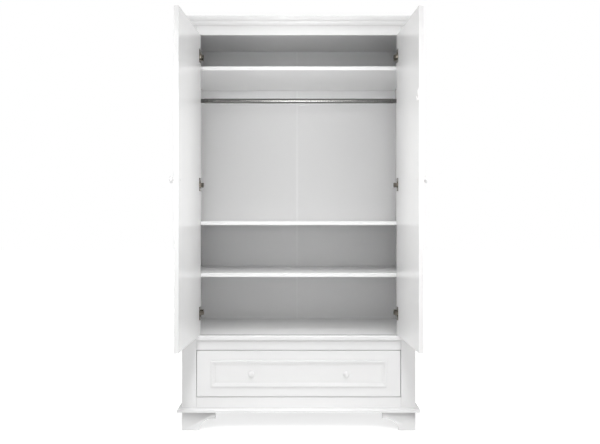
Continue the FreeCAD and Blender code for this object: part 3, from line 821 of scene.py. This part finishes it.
@dataclass
class WrapMouldings(SubAssembly):
    """Cornice, waist moulding and base moulding, mitred at the two front corners."""

    arc_segments: int = 14
    arris: float = 0.0003
    nearly: float = 0.9995
    smooth_below: float = 50.0

    def build(self) -> None:
        """Make all nine lengths."""
        for section in SECTIONS:
            self.make_front(section)
            for side in Side:
                self.make_return(section, side)

    def shape(self, bench: Bench, section: Section, low: float, face: Vector, out: Vector) -> None:
        """Give a plain length its section.

        Args:
            bench: The bench with the core on it.
            section: The section to give it.
            low: The height of its underside.
            face: A point of the plane that the moulding is planted on.
            out: The way that the moulding stands out.
        """

        def reach(point: Vector) -> float:
            """How far out a point is."""
            return (point - face).dot(out)

        for band in section.bands:
            for level in (band.bottom, band.top):
                if 0 < level < section.height:
                    bench.cut(Vector((0, 0, low + level)), UP, False)
            bench.pick(
                Pick.FACES,
                lambda point, normal: normal.dot(out) > ALONG
                and low + band.bottom < point.z < low + band.top,
            )
            bench.extrude(out * band.extra)
        for arris in section.rounds:
            bench.pick(
                Pick.EDGES,
                lambda point, way: near(reach(point), arris.out)
                and near(point.z, low + arris.height)
                and abs(way.z) < ACROSS
                and abs(way.dot(out)) < ACROSS,
            )
            bench.bevel(arris.radius * self.nearly, self.arc_segments)

    def make_front(self, section: Section) -> None:
        """Make the length across the front.

        Args:
            section: The moulding's section.
        """
        node = section.name + "_front"
        low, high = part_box(node)
        face = Vector((0, high.y, 0))
        bench = Bench.block(Vector((low.x, high.y - section.core, low.z)), high)
        self.shape(bench, section, low.z, face, FORWARD)
        reach = max(arris.out for arris in section.rounds)
        for side in Side:
            corner = Vector((side.value * (high.x - reach), high.y, low.z))
            bench.cut(corner, Vector((side.value, 1, 0)).normalized(), True)
        self.finish(bench, node)

    def make_return(self, section: Section, side: Side) -> None:
        """Make the length along one side.

        Args:
            section: The moulding's section.
            side: The side that it runs along.
        """
        node = f"{section.name}_{side.word}"
        low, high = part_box(node)
        inner = low.x if side is Side.RIGHT else high.x
        outer = inner + side.value * section.core
        bench = Bench.block(
            Vector((min(inner, outer), low.y, low.z)), Vector((max(inner, outer), high.y, high.z))
        )
        self.shape(bench, section, low.z, Vector((inner, 0, 0)), Vector((side.value, 0, 0)))
        reach = max(arris.out for arris in section.rounds)
        corner = Vector((inner, low.y + reach, low.z))
        bench.cut(corner, Vector((-side.value, -1, 0)).normalized(), True)
        self.finish(bench, node)

    def finish(self, bench: Bench, node: str) -> None:
        """Take one length off the bench and fix it.

        Args:
            bench: The bench with the length on it.
            node: The frame's node that it stands for.
        """
        piece = bench.take(node + "_run", self.smooth_below)
        soften(piece, self.arris)
        self.hand_over(piece, "cabinet", "white_lacquer", node)


@dataclass(frozen=True)
class Swing:
    """A door's hinge line, and the turn that takes the shut door to where it stands."""

    pivot: Vector
    turn: float

    @classmethod
    def of(cls, side: Side) -> "Swing":
        """Read one door's hinge from the record.

        Args:
            side: The door's side.

        Returns:
            Its hinge line and turn.
        """
        joint = joint_of(side.word + "_door_hinge")
        angle = math.radians(joint["range_deg"][1])
        return cls(Vector(joint["pos_m"]), side.value * angle)

    @property
    def opening(self) -> Matrix:
        """The move from shut to open."""
        there = Matrix.Translation(Vector((self.pivot.x, self.pivot.y, 0)))
        return there @ Matrix.Rotation(self.turn, 4, "Z") @ there.inverted()


@dataclass
class TrimFrames(SubAssembly):
    """The stepped moulding frames planted on both doors and the drawer."""

    width: float = 0.022
    height: float = 0.0085
    outer_radius: float = 0.003
    first_tread: float = 0.0115
    second_tread: float = 0.01716667
    side_margin: float = 0.0675
    end_margin: float = 0.047
    door_gap: float = 0.0025
    meeting_gap: float = 0.0015
    segments: int = 8
    nearly: float = 0.98
    smooth_below: float = 40.0

    @property
    def step(self) -> float:
        """How far each tread lies below the one outside it."""
        return self.height / 3

    def build(self) -> None:
        """Make the two door frames and the drawer's."""
        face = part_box("stile_left")[0].y
        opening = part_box("stile_right")[0].x
        door_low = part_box("door_left")[0].z + self.side_margin
        door_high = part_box("door_left")[1].z - self.side_margin
        for side in Side:
            inner = self.meeting_gap + self.side_margin
            outer = opening - self.door_gap - self.side_margin
            low_x, high_x = sorted((side.value * inner, side.value * outer))
            low = Vector((low_x, face, door_low))
            high = Vector((high_x, face, door_high))
            piece = self.make_frame(f"door_trim_{side.word}", low, high)
            settle(piece, Swing.of(side).opening)
            node = "door_moulding_" + side.word
            self.hand_over(piece, side.word + "_door", "white_lacquer", node)
        low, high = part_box("drawer_front")
        margin = Vector((self.side_margin, 0, self.end_margin))
        low = Vector((low.x, face, low.z)) + margin
        high = Vector((high.x, face, high.z)) - margin
        piece = self.make_frame("drawer_trim", low, high)
        self.hand_over(piece, "drawer", "white_lacquer", "drawer_moulding")

    def make_frame(self, name: str, low: Vector, high: Vector) -> bpy.types.Object:
        """Make one frame that stands out towards -Y from a shut face.

        Args:
            name: The piece's name.
            low: The low outer corner, on the face.
            high: The high outer corner, on the face.

        Returns:
            The finished frame.
        """
        crest = low.y - self.height
        bench = Bench.block(Vector((low.x, crest, low.z)), high)
        centre = middle(low, high)

        def core(point: Vector, normal: Vector, way: Vector) -> bool:
            """Whether a face is the middle one on its side."""
            middled = near(point.x, centre.x) and near(point.z, centre.z)
            return middled and normal.dot(way) > ALONG

        treads = (self.first_tread, self.second_tread, self.width)
        for index, tread in enumerate(treads):
            before = treads[index - 1] if index else 0.0
            bench.pick(Pick.FACES, lambda point, normal: core(point, normal, FORWARD))
            bench.inset(tread - before)
            if index < len(treads) - 1:
                bench.extrude(Vector((0, self.step, 0)))
        bpy.ops.mesh.delete(type="FACE")
        bench.pick(Pick.FACES, lambda point, normal: core(point, normal, BACKWARD))
        bench.inset(self.width)
        bpy.ops.mesh.delete(type="FACE")

        def on_ring(point: Vector, inset: float, level: float) -> bool:
            """Tell whether a point is on one of the frame's rectangles.

            Args:
                point: The point.
                inset: How far inside the frame's outline the rectangle is.
                level: The rectangle's Y.

            Returns:
                Whether it is.
            """
            across = min(point.x - low.x, high.x - point.x)
            along = min(point.z - low.z, high.z - point.z)
            return near(min(across, along), inset) and near(point.y, level)

        bench.pick(
            Pick.EDGES,
            lambda point, way: on_ring(point, self.width, low.y)
            or on_ring(point, self.width, crest + 2 * self.step),
        )
        bpy.ops.mesh.bridge_edge_loops()
        rounds = (
            (0.0, crest, self.outer_radius),
            (self.first_tread, crest, self.step * self.nearly),
            (self.second_tread, crest + self.step, self.step * self.nearly),
        )
        for inset, level, radius in rounds:
            bench.pick(
                Pick.EDGES,
                lambda point, way: on_ring(point, inset, level) and abs(way.y) < ACROSS,
            )
            bench.bevel(radius, self.segments)
        return bench.take(name, self.smooth_below)


# ---------------------------------------------------------------- knobs and fixings


@dataclass
class Fixings:
    """Screws and nails, each made once along +Z with its seat at zero."""

    head_radius: float = 0.0034
    head_height: float = 0.0016
    head_sides: int = 24
    head_rings: tuple[tuple[float, float], ...] = (
        (0.62, -0.4),
        (0.96, -0.02),
        (1.0, 0.18),
        (0.97, 0.45),
        (0.86, 0.74),
        (0.62, 0.93),
        (0.3, 1.0),
    )
    recess: float = 0.0009
    recess_reach: float = 0.62
    recess_floor: float = 0.35
    recess_top: float = 1.5
    recess_taper: float = 0.6
    nail_radius: float = 0.0017
    nail_rim: float = 0.0002
    nail_height: float = 0.0005
    nail_crown: float = 0.6
    nail_sides: int = 10

    def make_screw(self, scale: float = 1.0) -> bpy.types.Object:
        """Make a pan-head screw's head with a cross recess.

        Args:
            scale: How much larger than the small screw it is.

        Returns:
            The master screw.
        """
        radius = self.head_radius * scale
        height = self.head_height * scale
        rings = [(radius * out, height * up) for out, up in self.head_rings]
        screw = Bench.turning(rings, self.head_sides).take("screw_master")
        reach = radius * self.recess_reach
        width = self.recess * scale / 2
        top = height * self.recess_top
        floor = height * self.recess_floor
        for across in (Vector((reach, width, top)), Vector((width, reach, top))):
            cutter = Bench.block(Vector((-across.x, -across.y, floor)), across)
            cutter.pick(Pick.FACES, lambda point, normal: normal.z < -ALONG)
            cutter.resize(self.recess_taper, Vector((0, 0, floor)))
            hollow(screw, cutter.take("cutter"))
        return screw

    def make_nail(self) -> bpy.types.Object:
        """Make a small domed nail head.

        Returns:
            The master nail.
        """
        rings = (
            (self.nail_radius, 0.0),
            (self.nail_radius, self.nail_rim),
            (self.nail_radius * self.nail_crown, self.nail_height),
        )
        return Bench.turning(rings, self.nail_sides).take("nail_master")


@dataclass
class Knobs(SubAssembly):
    """Turned knobs with a foot, a neck and a domed head, and the screws that hold them."""

    fixings: Fixings = field(default_factory=Fixings)
    rings: tuple[tuple[float, float], ...] = (
        (8.2, 0.0),
        (8.5, 0.3),
        (8.5, 2.0),
        (8.3, 2.4),
        (7.4, 2.9),
        (6.3, 3.6),
        (5.7, 4.6),
        (5.5, 6.2),
        (5.6, 8.0),
        (6.0, 9.6),
        (7.0, 10.9),
        (8.8, 12.0),
        (11.2, 13.1),
        (13.0, 14.3),
        (14.1, 15.8),
        (14.5, 17.4),
        (14.4, 19.0),
        (13.8, 20.8),
        (12.6, 22.5),
        (10.9, 24.0),
        (8.7, 25.3),
        (6.2, 26.2),
        (3.6, 26.8),
        (1.2, 27.0),
    )
    sides: int = 56
    smooth_below: float = 60.0
    screw_size: float = 1.25
    screw_inset: float = 0.0002

    def build(self) -> None:
        """Make a knob and a screw for each door and two for the drawer."""
        rings = [(radius * MM, height * MM) for radius, height in self.rings]
        knob = Bench.turning(rings, self.sides).take("knob_master", self.smooth_below)
        screw = self.fixings.make_screw(self.screw_size)
        face, inner = (corner.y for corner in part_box("stile_left"))
        for side in Side:
            opened = Swing.of(side).opening
            spot = opened.inverted() @ middle(*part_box(f"door_knob_screw_{side.word}"))
            place = opened @ pointing(Vector((spot.x, face, spot.z)), FORWARD)
            piece = scatter(f"door_knob_turned_{side.word}", knob, [place])
            self.hand_over(piece, side.word + "_door", "knob_lacquer", f"door_knob_{side.word}")
            seat = Vector((spot.x, inner - self.screw_inset, spot.z))
            piece = scatter(
                f"door_knob_fixing_{side.word}", screw, [opened @ pointing(seat, BACKWARD)]
            )
            self.hand_over(piece, side.word + "_door", "zinc_screw", f"door_knob_screw_{side.word}")
        low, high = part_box("drawer_knobs")
        across = high.x - max(radius for radius, _ in rings)
        spots = [Vector((side.value * across, high.y, middle(low, high).z)) for side in Side]
        places = [pointing(spot, FORWARD) for spot in spots]
        piece = scatter("drawer_knobs_turned", knob, places)
        self.hand_over(piece, "drawer", "knob_lacquer", "drawer_knobs")
        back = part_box("drawer_front")[1].y - self.screw_inset
        seats = [pointing(Vector((spot.x, back, spot.z)), BACKWARD) for spot in spots]
        piece = scatter("drawer_knob_fixings", screw, seats)
        self.hand_over(piece, "drawer", "zinc_screw", "drawer_knob_screws")
        drop(knob)
        drop(screw)


@dataclass
class FrameRails(SubAssembly):
    """The face frame's three rails, with an open V where each end meets a stile."""

    groove: float = 0.0022
    arris: float = 0.0006

    def build(self) -> None:
        """Make each rail."""
        for node in ("top_rail", "drawer_rail", "bottom_rail"):
            low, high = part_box(node)
            bench = Bench.block(low, high)
            bench.pick(
                Pick.EDGES,
                lambda point, way: abs(way.z) > ALONG
                and near(point.y, low.y)
                and abs(point.x) > high.x / 2,
            )
            bench.bevel(self.groove, 2)
            piece = bench.take(node + "_board")
            soften(piece, self.arris)
            self.hand_over(piece, "cabinet", "white_lacquer", node)


@dataclass
class HangingRail(SubAssembly):
    """The chromed rod and the two sockets that carry it."""

    chamfer: float = 0.0008
    socket_arris: float = 0.00048
    tube_step: float = 0.0012
    end_length: float = 0.045
    collar_length: float = 0.016
    collar_groove: float = 0.0015
    plate_height: float = 0.003
    plate_radius: float = 0.024
    ring_radius: float = 0.016
    ring_wall: float = 0.003
    ring_length: float = 0.012
    hair: float = 0.00001
    screw_distance: float = 0.02
    sides: int = 64
    smooth_below: float = 40.0
    fixings: Fixings = field(default_factory=Fixings)

    def build(self) -> None:
        """Make the rod, the sockets and their screws."""
        low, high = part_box("hanging_rod")
        radius = (high.z - low.z) / 2
        axis = middle(low, high)
        length = high.x - low.x
        thin = radius - self.tube_step
        collar = self.end_length + self.collar_length
        groove = collar + self.collar_groove
        half = (
            (thin, 0.0),
            (thin, self.end_length),
            (radius - self.chamfer, self.end_length + self.chamfer / 4),
            (radius, self.end_length + self.chamfer),
            (radius, collar - self.chamfer),
            (radius - self.chamfer, collar),
            (radius - self.chamfer, groove),
            (radius, groove + self.chamfer),
        )
        rings = half + tuple((ring, length - place) for ring, place in reversed(half))
        rod = Bench.turning(rings, self.sides).take("hanging_rod_tube", self.smooth_below)
        settle(rod, pointing(Vector((low.x, axis.y, axis.z)), Vector((1, 0, 0))))
        self.hand_over(rod, "cabinet", "chrome_tube", "hanging_rod")
        socket = self.make_socket()
        screw = self.fixings.make_screw()
        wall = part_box("rod_sockets")[1].x
        sockets = []
        screws = []
        for side in Side:
            inward = Vector((-side.value, 0, 0))
            seat = Vector((side.value * wall, axis.y, axis.z))
            sockets.append(pointing(seat, inward))
            for way in (-1, 1):
                spot = seat + inward * self.plate_height + Vector((0, way * self.screw_distance, 0))
                screws.append(pointing(spot, inward))
        piece = scatter("rod_sockets_turned", socket, sockets)
        self.hand_over(piece, "cabinet", "chrome_socket", "rod_sockets")
        self.hand_over(scatter("rod_socket_screws", screw, screws), "cabinet", "zinc_screw")
        drop(socket)
        drop(screw)

    def make_socket(self) -> bpy.types.Object:
        """Make a round plate with an open ring on it, its arrises rounded a little.

        Returns:
            The master socket.
        """
        top = self.plate_height + self.ring_length
        bore = self.ring_radius - self.ring_wall
        rings = (
            (self.plate_radius, 0.0),
            (self.plate_radius, self.plate_height),
            (self.ring_radius, self.plate_height + self.hair),
            (self.ring_radius, top),
            (bore, top + self.hair),
            (bore, self.plate_height),
        )
        socket = Bench.turning(rings, self.sides).take("socket_master", self.smooth_below)
        soften(socket, self.socket_arris, 3)
        return socket


@dataclass
class HingeScrews(SubAssembly):
    """The screws of the hinge cups' flanges and of the hinge plates."""

    fixings: Fixings = field(default_factory=Fixings)
    flange_half: float = 0.0315
    flange_screw: float = 0.0245
    plate_half: float = 0.026
    plate_screw: float = 0.018
    plate_depth: float = 0.029
    door_gap: float = 0.0025
    cup_distance: float = 0.022
    flange_thick: float = 0.0014
    plate_thick: float = 0.003
    count: int = 3

    def spots(
        self, node: str, half: float, reach: float, across: float, depth: float
    ) -> list[Vector]:
        """Find the places of a row's screws, two to a hinge.

        Args:
            node: The frame's node that holds the row of hinges.
            half: Half of one hinge's height in it.
            reach: How far above and below the hinge's middle its screws are.
            across: The screws' X.
            depth: The screws' Y.

        Returns:
            The places, from the lowest.
        """
        low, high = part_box(node)
        first = low.z + half
        spacing = (high.z - half - first) / (self.count - 1)
        levels = [first + index * spacing for index in range(self.count)]
        return [Vector((across, depth, level + way * reach)) for level in levels for way in (-1, 1)]

    def build(self) -> None:
        """Make the screws of both doors and both side panels."""
        screw = self.fixings.make_screw()
        inner_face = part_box("stile_left")[1].y + self.flange_thick
        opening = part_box("stile_right")[0].x
        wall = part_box("side_panel_right")[0].x
        for side in Side:
            node = "hinge_cups_" + side.word
            across = side.value * (opening - self.door_gap - self.cup_distance)
            spots = self.spots(node, self.flange_half, self.flange_screw, across, inner_face)
            opened = Swing.of(side).opening
            places = [opened @ pointing(spot, BACKWARD) for spot in spots]
            piece = scatter(f"hinge_flange_screws_{side.word}", screw, places)
            self.hand_over(piece, side.word + "_door", "zinc_screw")
            node = "hinge_housings_" + side.word
            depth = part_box(node)[0].y + self.plate_depth
            across = side.value * (wall - self.plate_thick)
            spots = self.spots(node, self.plate_half, self.plate_screw, across, depth)
            places = [pointing(spot, Vector((-side.value, 0, 0))) for spot in spots]
            piece = scatter(f"hinge_plate_screws_{side.word}", screw, places)
            self.hand_over(piece, "cabinet", "zinc_screw")
        drop(screw)


@dataclass
class BackNails(SubAssembly):
    """The nails that hold the thin back to the boards behind it."""

    fixings: Fixings = field(default_factory=Fixings)
    edge: float = 0.03
    per_panel: int = 5

    def build(self) -> None:
        """Make three rows of nails on each back panel."""
        nail = self.fixings.make_nail()
        places = []
        for panel in ("back_panel_left", "back_panel_right"):
            low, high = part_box(panel)
            step = (high.x - low.x - 2 * self.edge) / (self.per_panel - 1)
            for board in ("top_panel", "floor_panel", "base_panel"):
                level = middle(*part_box(board)).z
                for index in range(self.per_panel):
                    spot = Vector((low.x + self.edge + index * step, high.y, level))
                    places.append(pointing(spot, BACKWARD))
        self.hand_over(scatter("back_nails", nail, places), "cabinet", "zinc_screw")
        drop(nail)


ROUNDINGS = {
    "foot_front_left": 0.0,
    "foot_front_right": 0.0,
    "foot_side_left": 0.0008,
    "foot_side_right": 0.0008,
    "shelf_pins": 0.0005,
    "hinge_cups_left": 0.0003,
    "hinge_cups_right": 0.0003,
    "hinge_links_left": 0.0005,
    "hinge_links_right": 0.0005,
    "hinge_housings_left": 0.0006,
    "hinge_housings_right": 0.0006,
    "cabinet_runners": 0.0003,
    "drawer_runners": 0.0003,
    "front_rollers": 0.0006,
    "rear_rollers": 0.0006,
}


@dataclass
class Refinements(SubAssembly):
    """The feet and the small metal and plastic pieces, merged, eased and smoothly shaded."""

    merge_below: float = 0.00001
    flat_below: float = 1.0
    smooth_below: float = 30.0

    def build(self) -> None:
        """Refine each node that has a rounding listed; at 0 it is only shaded smooth."""
        parts = {part["node"]: part["material_slot"] for part in frame["record"]["subparts"]}
        members = frame["record"]["behaviour"]["bodies"].items()
        bodies = {node: body for body, nodes in members for node in nodes}
        for node, rounding in ROUNDINGS.items():
            piece = copy_of(frame["nodes"][node], node + "_eased")
            hold_only(piece)
            bpy.ops.object.mode_set(mode="EDIT")
            bpy.ops.mesh.select_all(action="SELECT")
            bpy.ops.mesh.remove_doubles(threshold=self.merge_below)
            bpy.ops.mesh.dissolve_limited(angle_limit=math.radians(self.flat_below))
            bpy.ops.mesh.normals_make_consistent(inside=False)
            bpy.ops.object.mode_set(mode="OBJECT")
            if rounding:
                soften(piece, rounding)
            else:
                bpy.ops.object.shade_smooth_by_angle(angle=math.radians(self.smooth_below))
            self.hand_over(piece, bodies[node], parts[node], node)


# ---------------------------------------------------------------- the studio


@dataclass(frozen=True)
class Lamp:
    """One soft round light."""

    name: str
    place: tuple[float, float, float]
    target: tuple[float, float, float]
    size: float
    energy: float
    spread: float = 180.0


LAMPS = (
    Lamp("door_right", (2.5, -1.3, 1.9), (-0.62, -0.5, 1.2), 0.6, 1.35, 36.0),
    Lamp("door_left", (-2.5, -1.3, 1.9), (0.62, -0.5, 1.2), 0.6, 1.35, 36.0),
    Lamp("side_right", (2.1, -1.3, 1.5), (-0.5, -0.3, 1.25), 1.0, 1.8, 80.0),
    Lamp("side_left", (-2.1, -1.3, 1.5), (0.5, -0.3, 1.25), 1.0, 1.8, 80.0),
    Lamp("key", (0.3, -3.6, 6.4), (0.0, 0.0, 0.7), 1.3, 84.0),
    Lamp("low", (0.0, -4.0, 3.4), (0.0, -0.3, 0.05), 0.6, 2.6, 34.0),
    Lamp("inner", (0.0, -3.4, 1.4), (0.0, 0.3, 1.38), 1.2, 0.6, 24.0),
    Lamp("lift", (0.0, -2.4, 0.85), (0.0, 0.3, 1.95), 0.6, 0.3, 22.0),
)


@dataclass
class Studio:
    """Floor, camera and lights."""

    lens: float = 43.4
    sensor: float = 36.0
    distance: float = 3.5
    farthest: float = 100.0
    eye_height: float = 1.023
    shift: tuple[float, float] = (0.0022, -0.0048)
    floor_size: float = 40.0
    floor_patches: Grain = (0.8, 3.0)
    floor_drift: float = 0.01
    floor_roughness: float = 0.9
    floor_level: float = 0.72
    floor_glow: float = 0.6
    floor_bounce: float = 0.1
    fill_level: float = 0.64

    def build(self) -> None:
        """Make the floor, the camera and the lights."""
        bpy.context.scene.view_settings.view_transform = "Standard"
        self.make_floor()
        self.make_camera()
        self.make_world()
        self.make_lamps()

    def make_floor(self) -> None:
        """Lay a plain floor that the camera sees as white, and that throws back less light."""
        bpy.ops.mesh.primitive_plane_add(size=self.floor_size, location=(0, 0, 0))
        floor = bpy.context.active_object
        floor.name = "studio_floor"
        graph = Graph("studio_floor")
        tone = graph.noise(*self.floor_patches)
        darker = grey(self.floor_level - self.floor_drift)
        lighter = grey(self.floor_level + self.floor_drift)
        seen = graph.add("ShaderNodeLightPath", output="Is Camera Ray")
        surface = graph.finish(
            {
                "Base Color": graph.mix(tone, darker, lighter),
                "Roughness": self.floor_roughness,
                "Emission Color": graph.mix(seen, grey(self.floor_bounce), grey(self.floor_glow)),
                "Emission Strength": 1.0,
            }
        )
        floor.data.materials.append(surface)

    def make_camera(self) -> None:
        """Set up a level camera in front of the wardrobe's middle."""
        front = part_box("stile_left")[0].y
        data = bpy.data.cameras.new("camera")
        data.lens = self.lens
        data.sensor_width = self.sensor
        data.shift_x, data.shift_y = self.shift
        data.clip_end = self.farthest
        camera = bpy.data.objects.new("camera", data)
        camera.location = (0, front - self.distance, self.eye_height)
        camera.rotation_euler = (math.pi / 2, 0, 0)
        bpy.context.scene.collection.objects.link(camera)
        bpy.context.scene.camera = camera

    def make_world(self) -> None:
        """Light everything evenly from all round, and show the camera a white background."""
        world = bpy.data.worlds.new("studio")
        bpy.context.scene.world = world
        world.use_nodes = True
        tree = world.node_tree
        tree.nodes.clear()
        path = tree.nodes.new("ShaderNodeLightPath")
        level = tree.nodes.new("ShaderNodeMix")
        level.inputs[2].default_value = self.fill_level
        level.inputs[3].default_value = 1.0
        sky = tree.nodes.new("ShaderNodeBackground")
        out = tree.nodes.new("ShaderNodeOutputWorld")
        tree.links.new(path.outputs["Is Camera Ray"], level.inputs[0])
        tree.links.new(level.outputs[0], sky.inputs["Strength"])
        tree.links.new(sky.outputs[0], out.inputs["Surface"])
        sky.inputs["Color"].default_value = (1, 1, 1, 1)

    def make_lamps(self) -> None:
        """Hang the soft lights."""
        for lamp in LAMPS:
            data = bpy.data.lights.new(lamp.name, "AREA")
            data.shape = "DISK"
            data.size = lamp.size
            data.energy = lamp.energy
            data.spread = math.radians(lamp.spread)
            light = bpy.data.objects.new(lamp.name, data)
            light.location = lamp.place
            aim = Vector(lamp.target) - light.location
            light.rotation_euler = aim.to_track_quat("-Z", "Y").to_euler()
            bpy.context.scene.collection.objects.link(light)


def main() -> None:
    """Build the studio, dress the frame and add every new piece."""
    logging.basicConfig(level=logging.INFO, format="%(message)s")
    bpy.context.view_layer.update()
    finishes = Finishes()
    finishes.dress_frame()
    Studio().build()
    for assembly in (
        WrapMouldings,
        TrimFrames,
        FrameRails,
        Knobs,
        HangingRail,
        HingeScrews,
        BackNails,
        Refinements,
    ):
        assembly(finishes).build()


if __name__ == "__main__":
    main()
